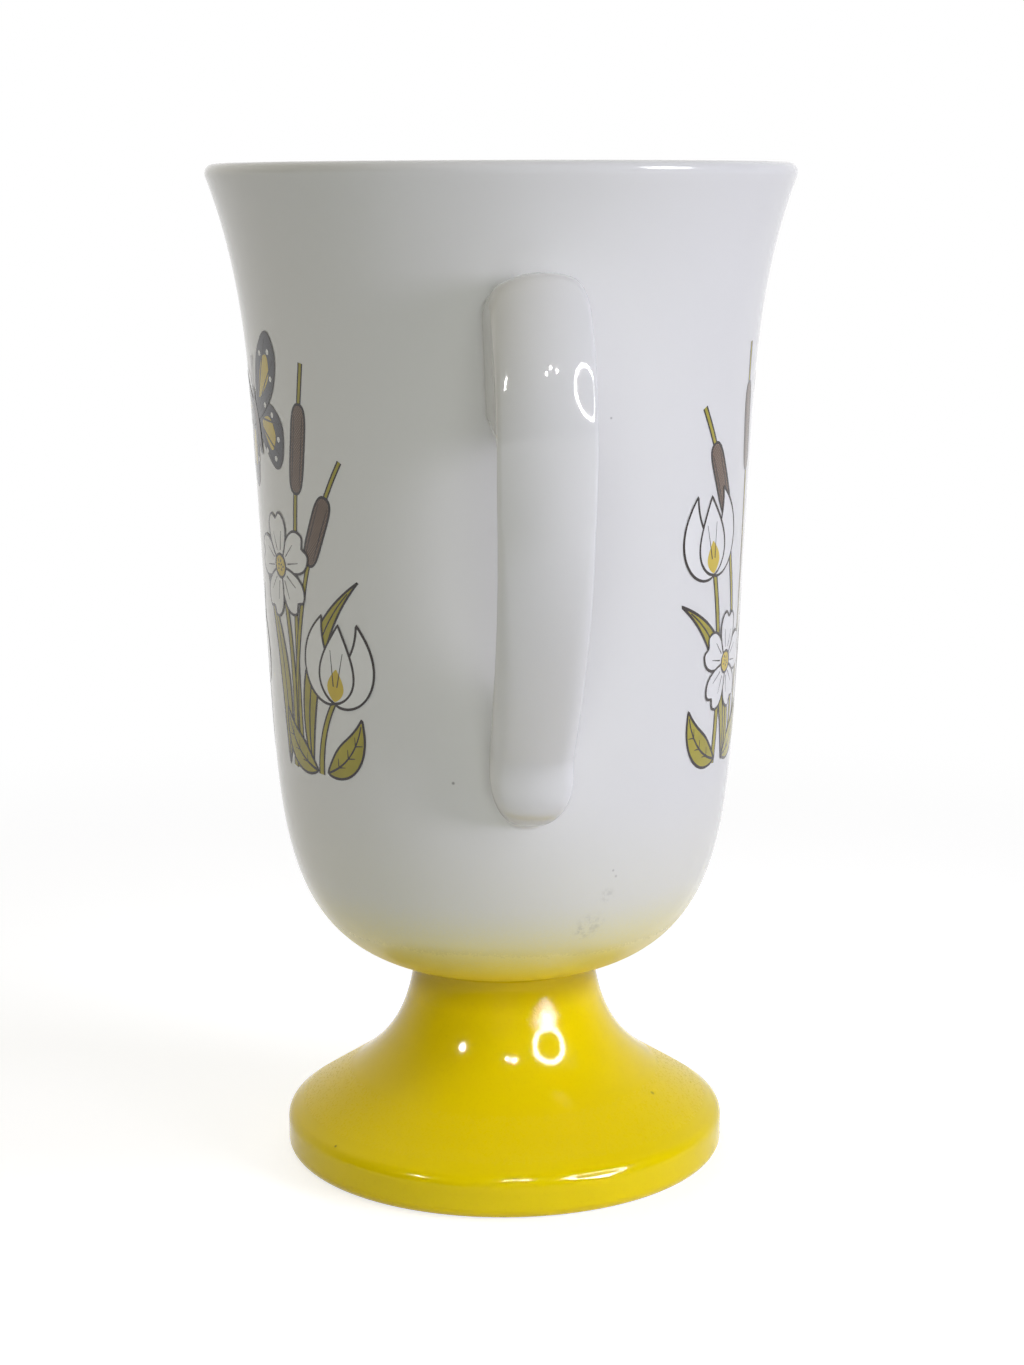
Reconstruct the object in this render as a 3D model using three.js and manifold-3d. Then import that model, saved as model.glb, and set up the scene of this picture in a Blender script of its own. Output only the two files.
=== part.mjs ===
// A pedestal mug in glazed porcelain: a tall flared bowl on a hollow trumpet foot, with a strap
// handle on the bowl's side. Foot and handle are luted to the bowl with thin pads of slip.
// Millimetres, +Z up, handle towards +X. The origin is on the table, under the middle of the
// mug's plan box, so the bowl's axis stands a little towards -X.

import * as THREE from 'three';
import { mergeVertices } from 'three/addons/utils/BufferGeometryUtils.js';
import Module from 'manifold-3d';

const wasm = await Module();
wasm.setup();

// Foot
const FOOT_HEIGHT = 27;
const FOOT_RADIUS = 31.45;
const TOE_RADIUS = 1.6;
const FOOT_BAND_TOP = 4.4;
const SHOULDER_RADIUS = 2.15;
const FOOT_SLOPE = THREE.MathUtils.degToRad(34.6);
const FOOT_SLOPE_PULL = 10.4;
const NECK_RADIUS = 13.05;
const NECK_LEAN = THREE.MathUtils.degToRad(7.2);
const NECK_PULL = 12.9;
const FOOT_WALL = 4.5;
const FOOT_RING_WIDTH = 2.3;

// Slip joints
const SLIP_THICKNESS = 0.8;
const JOINT_GAP = 0.1;
const SLIP_INSET = 0.3;
const HANDLE_SLIP_SPREAD = 0.25;

// Bowl, stacked on the foot: a rounded lower part, a plain body and a flare up to the rim
const BOWL_SEAT_CUT = 0.7;
const LOWER_BOWL_HEIGHT = 49;
const BELLY_RADIUS = 33.2;
const BODY_HEIGHT = 20;
const BODY_TOP_RADIUS = 34.15;
const FLARE_HEIGHT = 43;
const RIM_RADIUS = 40.3;
const RIM_LEAN = THREE.MathUtils.degToRad(20.2);
const BOWL_WALL = 2.6;
const BOWL_FLOOR = 4.2;
const ROUNDING_POWER_UP = 4.5;
const ROUNDING_POWER_OUT = 3.17;

// Handle, hung from the rim and stood off from the body. Setbacks are measured in from its bulge.
const HANDLE_DROP = 13.5;
const HANDLE_STANDOFF = 23;
const HANDLE_WIDTH = 12.1;
const HANDLE_EDGE_RADIUS = 1.8;
const HANDLE_EMBED = 1.2;
const FACE_CROWN_RADIUS = 10.4;
const SIDE_TAPER = 0.12;
const ARM_DEPTH = 20.3;
const ARM_RISE = 1.5;
const ARM_CROWN = 1.1;
const ARM_CROWN_SETBACK = 13.65;
const ARM_FALL = 1.05;
const CORNER_SETBACK = 8.75;
const OUTER_CORNER = 1.7;
const BULGE_DROP = 19.1;
const SHOULDER_PULL = 8.5;
const STRAP_THICKNESS = 7.5;
const INNER_ARM = 2;
const INNER_CORNER = 8.6;
const INNER_CORNER_DROP = 6.6;
const INNER_BACK_HEIGHT = 5.5;
const FINGER_GAP_HEIGHT = 39.7;
const TAIL_LENGTH = 12.1;
const TAIL_DEPTH = 8.4;
const TAIL_TOP_DROP = 1.2;
const TIP_WIDTH = 11;
const TIP_ROUND = 7.4;
const TIP_LEAST_WIDTH = 1.1;

// Directions and pulls of the handle's curves: the sweep runs from the bulge back to the tail's
// top, and the tip is where the tail ends on the bowl. The front is the sweep's upper share.
const FRONT_SHARE = 0.2;
const SWEEP_PULL_DOWN = 19.4;
const SWEEP_PULL_IN = 18.5;
const SWEEP_SLOPE = THREE.MathUtils.degToRad(53.6);
const TAIL_PULL = 5;
const TIP_PULL = 13;
const TIP_SLOPE = THREE.MathUtils.degToRad(12);
const INNER_PULL_DOWN = 12;
const INNER_PULL_IN = 15;
const INNER_SLOPE = THREE.MathUtils.degToRad(50);

// Facets
const TURN_SEGMENTS = 48;
const LOWER_BOWL_STEPS = 10;
const FLARE_STEPS = 6;
const FOOT_CURVE_STEPS = 9;
const ROUND_EDGE_STEPS = 3;
const FACE_STEPS = 4;
const STRETCH_STEPS = [5, 2, 7, 4, 12, 10];

const bowlSeatZ = FOOT_HEIGHT + 2 * JOINT_GAP + SLIP_THICKNESS;
const bowlBottomZ = bowlSeatZ - BOWL_SEAT_CUT;
const bellyZ = bowlSeatZ + LOWER_BOWL_HEIGHT;
const bodyTopZ = bellyZ + BODY_HEIGHT;
const rimZ = bodyTopZ + FLARE_HEIGHT;
const bodySlope = (BODY_TOP_RADIUS - BELLY_RADIUS) / BODY_HEIGHT;
const lipRadius = BOWL_WALL / 2;
const flareEndZ = rimZ - lipRadius * (1 + Math.sin(RIM_LEAN));
const flareEndRadius = RIM_RADIUS - lipRadius * (1 - Math.cos(RIM_LEAN));

const handleReach = BODY_TOP_RADIUS + HANDLE_STANDOFF;
const handleTopZ = rimZ - HANDLE_DROP;
const gapTopZ = handleTopZ - ARM_DEPTH;
const gapBottomZ = gapTopZ - FINGER_GAP_HEIGHT;
const tipZ = gapBottomZ - TAIL_LENGTH;
const bulgeZ = handleTopZ - BULGE_DROP;
const slipPadOffset = 2 * JOINT_GAP + SLIP_THICKNESS;

const white = new THREE.MeshStandardMaterial({ color: 0xe4e4e0, roughness: 0.12, metalness: 0 });
const yellow = new THREE.MeshStandardMaterial({ color: 0xefc800, roughness: 0.12, metalness: 0 });
const slip = new THREE.MeshStandardMaterial({ color: 0xe2e1db, roughness: 0.35, metalness: 0 });

const point = (r, z) => new THREE.Vector2(r, z);

// Even steps from first to last, both included.
function steps(first, last, count) {
  return Array.from({ length: count + 1 }, (_, i) => first + ((last - first) * i) / count);
}

function solidOf(geometry) {
  const bare = geometry.clone();
  bare.deleteAttribute('normal');
  bare.deleteAttribute('uv');
  const merged = mergeVertices(bare);
  const corners = merged.index.array;
  const kept = [];
  for (let i = 0; i < corners.length; i += 3) {
    const [a, b, c] = [corners[i], corners[i + 1], corners[i + 2]];
    if (a !== b && b !== c && c !== a) kept.push(a, b, c);
  }
  return new wasm.Manifold(new wasm.Mesh({
    numProp: 3,
    vertProperties: new Float32Array(merged.attributes.position.array),
    triVerts: new Uint32Array(kept),
  }));
}

function geometryOf(solid) {
  const mesh = solid.getMesh();
  const geometry = new THREE.BufferGeometry();
  geometry.setAttribute('position', new THREE.BufferAttribute(mesh.vertProperties, 3));
  geometry.setIndex(new THREE.BufferAttribute(mesh.triVerts, 1));
  geometry.computeVertexNormals();
  return geometry;
}

// A solid turned about +Z from a profile of radius and height, outer side upwards.
function turned(profile) {
  return solidOf(new THREE.LatheGeometry(profile, TURN_SEGMENTS).rotateX(Math.PI / 2));
}

function named(name, solid, material) {
  const mesh = new THREE.Mesh(geometryOf(solid), material);
  mesh.name = name;
  return mesh;
}

// Radius of the body's straight line at a height, carried on above and below it.
const bodyLine = (z) => BELLY_RADIUS + bodySlope * (z - bellyZ);

// How far the rounded lower bowl reaches out at a height, from 0 at its bottom to 1 at the belly.
function rounding(z, bottomZ) {
  const down = THREE.MathUtils.clamp((bellyZ - z) / (bellyZ - bottomZ), 0, 1);
  return (1 - down ** ROUNDING_POWER_UP) ** (1 / ROUNDING_POWER_OUT);
}

// The flare leaves the body along its line and ends at the lip with the rim's lean.
function flareRadius(z) {
  const rise = flareEndZ - bodyTopZ;
  const t = (z - bodyTopZ) / rise;
  const ended = 3 * t ** 2 - 2 * t ** 3;
  const radii = BODY_TOP_RADIUS * (1 - ended) + flareEndRadius * ended;
  const slopes = bodySlope * (t ** 3 - 2 * t ** 2 + t) + Math.tan(RIM_LEAN) * (t ** 3 - t ** 2);
  return radii + rise * slopes;
}

// Outer radius of the bowl at a height.
function bowlRadius(z) {
  return z > bodyTopZ ? flareRadius(z) : bodyLine(z) * rounding(z, bowlBottomZ);
}

// Heights along the rounded lower bowl, closest together where it curves most.
function lowerHeights(bottomZ, count) {
  const turns = steps(Math.PI / 2, 0, count);
  return turns.map((turn) => bellyZ - (bellyZ - bottomZ) * Math.sin(turn) ** (2 / ROUNDING_POWER_UP));
}

function bowlOuterProfile() {
  const lower = lowerHeights(bowlBottomZ, LOWER_BOWL_STEPS).filter((z) => z > bowlSeatZ + JOINT_GAP);
  const heights = [bowlSeatZ, ...lower, bellyZ + BODY_HEIGHT / 2, ...steps(bodyTopZ, flareEndZ, FLARE_STEPS)];
  return heights.map((z) => point(bowlRadius(z), z));
}

function lipProfile() {
  const centre = point(RIM_RADIUS - lipRadius, rimZ - lipRadius);
  const angles = steps(0, Math.PI - RIM_LEAN, 2 * ROUND_EDGE_STEPS);
  return angles.map((a) => point(centre.x + lipRadius * Math.cos(a), centre.y + lipRadius * Math.sin(a)));
}

function bowlInnerProfile() {
  const floorZ = bowlSeatZ + BOWL_FLOOR;
  const flare = steps(flareEndZ, bodyTopZ, FLARE_STEPS).slice(1).map((z) => {
    const slope = (flareRadius(z + JOINT_GAP) - flareRadius(z)) / JOINT_GAP;
    const across = Math.hypot(1, slope);
    return point(flareRadius(z) - BOWL_WALL / across, z + (BOWL_WALL * slope) / across);
  });
  const lower = lowerHeights(floorZ, LOWER_BOWL_STEPS).reverse();
  const wall = lower.map((z) => point((bodyLine(z) - BOWL_WALL) * rounding(z, floorZ), z));
  wall[wall.length - 1] = point(0, floorZ);
  return [...flare, ...wall];
}

function bowl() {
  return turned([point(0, bowlSeatZ), ...bowlOuterProfile(), ...lipProfile(), ...bowlInnerProfile()]);
}

// The bowl's outer form as a closed body, grown outwards by an offset.
function bowlForm(offset) {
  const outer = bowlOuterProfile().map((p) => point(p.x + offset, p.y));
  return turned([point(0, outer[0].y), ...outer, point(0, outer[outer.length - 1].y)]);
}

// The foot's cone and neck as one curve, from the shoulder to the top of the neck.
function footCurve() {
  const turn = Math.PI / 2 - FOOT_SLOPE;
  const shoulder = point(
    FOOT_RADIUS - SHOULDER_RADIUS * (1 - Math.cos(turn)),
    FOOT_BAND_TOP + SHOULDER_RADIUS * Math.sin(turn),
  );
  const top = point(NECK_RADIUS, FOOT_HEIGHT);
  const slopeWay = point(-Math.cos(FOOT_SLOPE), Math.sin(FOOT_SLOPE)).multiplyScalar(FOOT_SLOPE_PULL);
  const neckWay = point(Math.sin(NECK_LEAN), -Math.cos(NECK_LEAN)).multiplyScalar(NECK_PULL);
  return new THREE.CubicBezierCurve(shoulder, shoulder.clone().add(slopeWay), top.clone().add(neckWay), top);
}

function pedestalFoot() {
  const ringOuter = FOOT_RADIUS - TOE_RADIUS;
  const ringInner = ringOuter - FOOT_RING_WIDTH;
  const toe = steps(-Math.PI / 2, 0, ROUND_EDGE_STEPS).map((a) =>
    point(ringOuter + TOE_RADIUS * Math.cos(a), TOE_RADIUS + TOE_RADIUS * Math.sin(a)));
  const shoulder = steps(0, Math.PI / 2 - FOOT_SLOPE, ROUND_EDGE_STEPS).slice(0, -1).map((a) =>
    point(FOOT_RADIUS - SHOULDER_RADIUS * (1 - Math.cos(a)), FOOT_BAND_TOP + SHOULDER_RADIUS * Math.sin(a)));
  const curve = footCurve();
  const cone = steps(0, 1, FOOT_CURVE_STEPS).map((t) => curve.getPoint(t));
  const hollow = steps(1, 0, FOOT_CURVE_STEPS).map((t) => {
    const way = curve.getTangent(t);
    const place = curve.getPoint(t);
    return point(Math.min(ringInner, place.x - FOOT_WALL * way.y), place.y + FOOT_WALL * way.x);
  });
  hollow[0].y = FOOT_HEIGHT;
  return turned([point(ringInner, 0), ...toe, ...shoulder, ...cone, ...hollow, point(ringInner, 0)]);
}

function footSlipJoint() {
  const outer = NECK_RADIUS - SLIP_INSET;
  const inner = NECK_RADIUS - FOOT_WALL + SLIP_INSET;
  const bottom = FOOT_HEIGHT + JOINT_GAP;
  const top = bottom + SLIP_THICKNESS;
  const start = point(inner, bottom);
  return turned([start, point(outer, bottom), point(outer, top), point(inner, top), start]);
}

// Rails of the handle in the plane through the bowl's axis, in six matched stretches: arm, corner,
// shoulder, front, sweep back to the bowl, and tail. The outer rail is the face that is seen. The
// inner rail runs round the finger gap and then inside the bowl's wall.
function outerRail() {
  const corner = point(handleReach - CORNER_SETBACK, handleTopZ - ARM_FALL);
  const armStart = point(bowlRadius(handleTopZ) - HANDLE_EMBED, handleTopZ - ARM_RISE);
  const armCrown = point(handleReach - ARM_CROWN_SETBACK, handleTopZ + ARM_CROWN);
  const bulge = point(handleReach, bulgeZ);
  const shoulder = point(handleReach, bulgeZ + SHOULDER_PULL);
  const armEnd = toward(corner, armCrown, OUTER_CORNER);
  const frontTop = toward(corner, shoulder, OUTER_CORNER);
  const tailTop = point(bowlRadius(gapBottomZ) + TAIL_DEPTH, gapBottomZ - TAIL_TOP_DROP);
  const tip = point(bowlRadius(tipZ) - HANDLE_EMBED, tipZ);
  const sweepDown = point(handleReach, bulgeZ - SWEEP_PULL_DOWN);
  const sweepIn = pulled(tailTop, SWEEP_SLOPE, SWEEP_PULL_IN);
  return [
    new THREE.QuadraticBezierCurve(armStart, armCrown, armEnd),
    new THREE.QuadraticBezierCurve(armEnd, corner, frontTop),
    new THREE.QuadraticBezierCurve(frontTop, shoulder, bulge),
    ...cutInTwo([bulge, sweepDown, sweepIn, tailTop], FRONT_SHARE),
    new THREE.CubicBezierCurve(
      tailTop, pulled(tailTop, SWEEP_SLOPE, -TAIL_PULL), pulled(tip, TIP_SLOPE, TIP_PULL), tip,
    ),
  ];
}

function innerRail() {
  const back = handleReach - STRAP_THICKNESS;
  const armStart = point(bowlRadius(gapTopZ) - HANDLE_EMBED, gapTopZ);
  const armEnd = point(back - INNER_CORNER, gapTopZ);
  const armMiddle = point(armEnd.x - INNER_ARM, gapTopZ);
  const backTop = point(back, gapTopZ - INNER_CORNER_DROP);
  const backEnd = point(back, backTop.y - INNER_BACK_HEIGHT);
  const gapFoot = point(bowlRadius(gapBottomZ) - HANDLE_EMBED, gapBottomZ);
  const tip = point(bowlRadius(tipZ) - 2 * HANDLE_EMBED, tipZ);
  return [
    new THREE.LineCurve(armStart, armMiddle),
    new THREE.LineCurve(armMiddle, armEnd),
    new THREE.QuadraticBezierCurve(armEnd, point(back, gapTopZ), backTop),
    new THREE.LineCurve(backTop, backEnd),
    new THREE.CubicBezierCurve(
      backEnd, point(back, backEnd.y - INNER_PULL_DOWN), pulled(gapFoot, INNER_SLOPE, INNER_PULL_IN), gapFoot,
    ),
    new THREE.LineCurve(gapFoot, tip),
  ];
}

// The inner rail slows to a stop where it turns down inside the bowl's wall, and starts slowly
// again, so that the outer face stays smooth there.
function innerShare(stretch, share) {
  if (stretch === 4) return 1 - (1 - share) ** 2;
  return stretch === 5 ? share ** 2 : share;
}

// The two parts of a cubic curve that is cut at a share of its parameter.
function cutInTwo(controls, share) {
  const first = [];
  const second = [];
  let row = controls;
  while (row.length) {
    first.push(row[0]);
    second.unshift(row[row.length - 1]);
    row = row.slice(1).map((p, i) => row[i].clone().lerp(p, share));
  }
  return [new THREE.CubicBezierCurve(...first), new THREE.CubicBezierCurve(...second)];
}

// A point at a distance from the start on the way to the goal.
function toward(start, goal, distance) {
  return start.clone().lerp(goal, distance / start.distanceTo(goal));
}

// A curve's control point: the start moved out and up along a slope.
function pulled(start, slope, pull) {
  return point(start.x + pull * Math.cos(slope), start.y + pull * Math.sin(slope));
}

// Width of the handle at a height of its outer rail: full down to the bulge, then narrowing
// evenly to the tip's width, and closed by a half round that ends on the bowl.
function handleWidth(z) {
  const roundZ = tipZ + TIP_ROUND;
  const narrowing = THREE.MathUtils.clamp((bulgeZ - z) / (bulgeZ - roundZ), 0, 1);
  const below = THREE.MathUtils.clamp((roundZ - z) / TIP_ROUND, 0, 1);
  const width = THREE.MathUtils.lerp(HANDLE_WIDTH, TIP_WIDTH, narrowing) * Math.sqrt(1 - below * below);
  return Math.max(width, TIP_LEAST_WIDTH);
}

// Depth and width of the places round a rounded box, from the middle of its outer face.
function boxOutline(halfDepth, halfWidth) {
  const radius = Math.min(HANDLE_EDGE_RADIUS, 0.9 * halfDepth, 0.9 * halfWidth);
  const [deep, wide] = [halfDepth - radius, halfWidth - radius];
  const places = [];
  for (let quarter = 0; quarter < 4; quarter += 1) {
    const depthSide = quarter === 0 || quarter === 3 ? 1 : -1;
    const widthSide = quarter < 2 ? 1 : -1;
    for (const a of steps(0, Math.PI / 2, ROUND_EDGE_STEPS)) {
      const angle = a + (quarter * Math.PI) / 2;
      places.push([depthSide * deep + radius * Math.cos(angle), widthSide * wide + radius * Math.sin(angle)]);
    }
  }
  const face = steps(-wide, wide, FACE_STEPS).slice(1, -1);
  return [...places, ...face.map((across) => [halfDepth, across])];
}

// The handle's section between a rail point of each kind, as a ring of points about +Y: a rounded
// box with a crowned outer face and sides that come together towards the inner face.
function section(inner, outer, width, spread) {
  const way = outer.clone().sub(inner).normalize();
  const middle = inner.clone().add(outer).multiplyScalar(0.5);
  const halfDepth = inner.distanceTo(outer) / 2 + spread;
  return boxOutline(halfDepth, width / 2 + spread).map(([depth, across]) => {
    const outerShare = (depth / halfDepth + 1) / 2;
    const crown = Math.min(across ** 2 / (2 * FACE_CROWN_RADIUS), 0.6 * halfDepth);
    const along = depth - crown * outerShare;
    const y = across * (1 - SIDE_TAPER * (1 - outerShare));
    return new THREE.Vector3(middle.x + way.x * along, y, middle.y + way.y * along);
  });
}

// The whole handle as a skin over its sections, with both ends inside the bowl's form.
function handleBody(spread) {
  const outer = outerRail();
  const inner = innerRail();
  const rings = [];
  const tail = STRETCH_STEPS.length - 1;
  STRETCH_STEPS.forEach((count, stretch) => {
    for (const share of steps(0, 1, count).slice(stretch ? 1 : 0)) {
      const t = stretch < tail ? share : Math.sin((share * Math.PI) / 2);
      const face = outer[stretch].getPoint(t);
      const back = inner[stretch].getPoint(innerShare(stretch, t));
      rings.push(section(back, face, handleWidth(face.y), spread));
    }
  });
  const size = rings[0].length;
  const corners = [];
  for (let i = 0; i + 1 < rings.length; i += 1) {
    for (let j = 0; j < size; j += 1) {
      const next = (j + 1) % size;
      const [a, b, c, d] = [i * size + j, i * size + next, (i + 1) * size + next, (i + 1) * size + j];
      corners.push(a, c, b, a, d, c);
    }
  }
  const last = (rings.length - 1) * size;
  for (let j = 1; j + 1 < size; j += 1) {
    corners.push(0, j, j + 1, last, last + j + 1, last + j);
  }
  const geometry = new THREE.BufferGeometry().setFromPoints(rings.flat());
  geometry.setIndex(corners);
  return solidOf(geometry);
}

function handle() {
  return handleBody(0).subtract(bowlForm(slipPadOffset));
}

// The slip under one end of the handle: the slice of its body between the bowl and the handle.
function handleSlipJoint(upper) {
  const shell = bowlForm(JOINT_GAP + SLIP_THICKNESS).subtract(bowlForm(JOINT_GAP));
  const height = rimZ / 2;
  const span = 2 * handleReach;
  const middleZ = (gapTopZ + gapBottomZ) / 2 + (upper ? height / 2 : -height / 2);
  const side = new THREE.BoxGeometry(span, span, height).translate(span / 2, 0, middleZ);
  return handleBody(HANDLE_SLIP_SPREAD).intersect(shell).intersect(solidOf(side));
}

const mug = new THREE.Group();
mug.name = 'pedestal_mug';
const pieces = new THREE.Group();
pieces.position.x = -(handleReach - RIM_RADIUS) / 2;
pieces.add(
  named('bowl', bowl(), white),
  named('pedestal_foot', pedestalFoot(), yellow),
  named('foot_slip_joint', footSlipJoint(), slip),
  named('handle', handle(), white),
  named('upper_handle_slip_joint', handleSlipJoint(true), slip),
  named('lower_handle_slip_joint', handleSlipJoint(false), slip),
);
mug.add(pieces);

export default mug;
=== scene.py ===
from math import atan2, copysign, cos, dist, exp, hypot, pi, radians, sin, sqrt, tan

import bmesh
import bpy
from mathutils import Matrix, Vector
from mathutils.bvhtree import BVHTree
from mathutils.geometry import delaunay_2d_cdt


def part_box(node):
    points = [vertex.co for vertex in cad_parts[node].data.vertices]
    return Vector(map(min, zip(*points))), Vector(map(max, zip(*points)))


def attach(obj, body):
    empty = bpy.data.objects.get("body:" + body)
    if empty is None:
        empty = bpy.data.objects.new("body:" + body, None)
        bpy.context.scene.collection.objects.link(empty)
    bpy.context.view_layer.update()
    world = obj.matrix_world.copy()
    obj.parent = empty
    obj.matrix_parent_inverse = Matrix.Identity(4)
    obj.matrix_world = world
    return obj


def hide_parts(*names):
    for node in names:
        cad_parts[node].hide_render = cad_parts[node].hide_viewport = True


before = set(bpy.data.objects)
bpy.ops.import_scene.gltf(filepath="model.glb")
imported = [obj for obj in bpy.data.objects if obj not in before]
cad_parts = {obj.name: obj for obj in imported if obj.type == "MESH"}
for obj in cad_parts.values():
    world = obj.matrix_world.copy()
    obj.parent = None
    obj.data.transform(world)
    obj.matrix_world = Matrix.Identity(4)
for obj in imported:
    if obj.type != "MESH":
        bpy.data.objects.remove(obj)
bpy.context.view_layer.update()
scene = bpy.context.scene

# Sizes in millimetres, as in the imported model. Heights are above the table.
MM = 0.001

# Foot.
FOOT_HEIGHT = 27.0
FOOT_RADIUS = 31.45
TOE_RADIUS = 1.6
FOOT_BAND_TOP = 4.4
SHOULDER_RADIUS = 2.15
FOOT_SLOPE = radians(34.6)
FOOT_SLOPE_PULL = 10.4
NECK_RADIUS = 13.05
NECK_LEAN = radians(7.2)
NECK_PULL = 12.9
FOOT_WALL = 4.5
FOOT_RING_WIDTH = 2.3
RING_EDGE = 0.5
RING_CLEARANCE = 0.2
BARE_TOP = 0.12

# Bowl.
SEAT_Z = 28.0
SEAT_RADII = (0, 6, 11)
SEAT_CLEARANCE = 0.05
BOTTOM_Z = 27.3
BELLY_Z = 77.0
BELLY_RADIUS = 33.2
BODY_TOP_Z = 97.0
BODY_TOP_RADIUS = 34.15
RIM_Z = 140.0
RIM_RADIUS = 40.3
RIM_LEAN = radians(20.2)
WALL = 2.6
FLOOR_Z = 32.2
POWER_UP = 4.5
POWER_OUT = 3.17
LIP_RADIUS = WALL / 2

# Handle.
REACH = 57.15
TOP_Z = 126.5
GAP_TOP_Z = 106.2
GAP_BOTTOM_Z = 66.5
TIP_Z = 54.4
BULGE_Z = 107.4
HANDLE_WIDTH = 12.1
TIP_WIDTH = 11.0
TIP_ROUND = 7.4
TIP_SHARE = 0.995
SIDE_TAPER = 0.12
EDGE_RADIUS = 0.65
ARM_EDGE_RADIUS = 1.9
SWEEP_EDGE_RADIUS = 2.4
TAIL_EDGE_RADIUS = 1.6
EDGE_SHARE = 0.9
CROWN_SHARE = 0.6
CROWN_RADIUS = 10.4
CROWN_SHIFT = 0.85
INNER_CROWN = 0.35
EMBED = 1.2
ARM_RISE = 1.5
ARM_CROWN = 1.1
ARM_CROWN_REACH = 43.5
ARM_FALL = 1.05
CORNER_REACH = 48.4
OUTER_CORNER = 1.7
SHOULDER_PULL = 8.5
STRAP_THICKNESS = 7.5
FRONT_SHARE = 0.2
INNER_ARM = 2.0
INNER_CORNER = 8.6
INNER_DROP = 6.6
INNER_BACK = 5.5
TAIL_DEPTH = 8.4
TAIL_TOP_DROP = 1.2
SWEEP_PULL_DOWN = 19.4
SWEEP_PULL_IN = 18.5
SWEEP_SLOPE = radians(53.6)
TAIL_PULL = 5.0
TIP_PULL = 13.0
TIP_SLOPE = radians(12)
INNER_PULL_DOWN = 12.0
INNER_PULL_IN = 15.0
INNER_SLOPE = radians(50)

# Slip beads along the joints.
BEAD = 0.6
BEAD_SINK = 0.2
BEAD_EDGE_SINK = 0.015
JOINT_LEG = 0.55
JOINT_SPREAD = 0.12
JOINT_SINK = 0.02
INNER_LEG = 1.2

# Facets.
TURN_SEGMENTS = 256
LOWER_STEPS = 60
BODY_STEPS = 10
FLARE_STEPS = 36
LIP_STEPS = 14
FOOT_STEPS = 44
ROUND_STEPS = 10
BAND_STEPS = 6
RING_EDGE_STEPS = 4
STRETCH_STEPS = (16, 10, 26, 16, 44, 50)
SIDE_STEPS = 16
FACE_STEPS = 14
CORNER_STEPS = 7
BEAD_POINTS = 220
BEAD_STEPS = 6
BEAD_SMOOTHINGS = 3
FOOT_SAMPLES = 200
INNER_LEG_STEPS = 5
HALVINGS = 40
NEARBY = 0.005
SLOPE_STEP = 0.02
SHARP_ANGLE = radians(40)

BODY_SLOPE = (BODY_TOP_RADIUS - BELLY_RADIUS) / (BODY_TOP_Z - BELLY_Z)
FLARE_END_Z = RIM_Z - LIP_RADIUS * (1 + sin(RIM_LEAN))
FLARE_END_RADIUS = RIM_RADIUS - LIP_RADIUS * (1 - cos(RIM_LEAN))

bowl_low, bowl_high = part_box("bowl")
AXIS_X = (bowl_low[0] + bowl_high[0]) / 2 / MM


def steps(first, last, count):
    return [first + (last - first) * i / count for i in range(count + 1)]


def clamp(value, low=0.0, high=1.0):
    return max(low, min(high, value))


def mixed(a, b, t):
    return a + (b - a) * t


def between(points, share):
    """The points at a share of the way along each leg of a line."""
    return [(mixed(a[0], b[0], share), mixed(a[1], b[1], share)) for a, b in zip(points, points[1:])]


def bezier(t, *points):
    while len(points) > 1:
        points = between(points, t)
    return points[0]


def split(share, points):
    """A Bezier curve cut in two: the points of its first and of its second part."""
    first, second = [points[0]], [points[-1]]
    while len(points) > 1:
        points = between(points, share)
        first.append(points[0])
        second.insert(0, points[-1])
    return first, second


def halved(low, high, is_low):
    """Where a test that holds at the low value stops holding, by halving."""
    for _ in range(HALVINGS):
        middle = (low + high) / 2
        low, high = (middle, high) if is_low(middle) else (low, middle)
    return (low + high) / 2


def pulled(start, slope, pull):
    return start[0] + pull * cos(slope), start[1] + pull * sin(slope)


def toward(start, goal, distance):
    return between((start, goal), distance / dist(start, goal))[0]


def beside(place, start, goal, distance):
    """The point at a distance from a place, to the right of the way from start to goal."""
    share = distance / dist(start, goal)
    return place[0] + (goal[1] - start[1]) * share, place[1] - (goal[0] - start[0]) * share


def around(radius, turn, z):
    """The point at a radius and turn round the mug's axis."""
    return Vector((AXIS_X + radius * cos(turn), radius * sin(turn), z))


def respaced(points, closed, count=None):
    """A line's points taken again at even spacing, about the line step where no count is given."""
    loop = points + points[:1] if closed else points
    lengths = [0.0]
    for a, b in zip(loop, loop[1:]):
        lengths.append(lengths[-1] + dist(a, b))
    count = count or max(3, round(lengths[-1] / LINE_STEP))
    result, k = [], 0
    for goal in steps(0, lengths[-1], count)[:-1]:
        while lengths[k + 1] < goal:
            k += 1
        share = (goal - lengths[k]) / max(lengths[k + 1] - lengths[k], 1e-9)
        result.append(tuple(mixed(a, b, share) for a, b in zip(loop[k], loop[k + 1])))
    return result if closed else result + [points[-1]]


# Shapes of the turned parts: radius and height.

def body_line(z):
    return BELLY_RADIUS + BODY_SLOPE * (z - BELLY_Z)


def rounding(z, bottom):
    down = clamp((BELLY_Z - z) / (BELLY_Z - bottom))
    return (1 - down ** POWER_UP) ** (1 / POWER_OUT)


def flare_radius(z):
    rise = FLARE_END_Z - BODY_TOP_Z
    t = (z - BODY_TOP_Z) / rise
    ended = 3 * t ** 2 - 2 * t ** 3
    radii = BODY_TOP_RADIUS * (1 - ended) + FLARE_END_RADIUS * ended
    slopes = BODY_SLOPE * (t ** 3 - 2 * t ** 2 + t) + tan(RIM_LEAN) * (t ** 3 - t ** 2)
    return radii + rise * slopes


def bowl_radius(z):
    if z > BODY_TOP_Z:
        return flare_radius(min(z, FLARE_END_Z))
    return body_line(z) * rounding(z, BOTTOM_Z)


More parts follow.
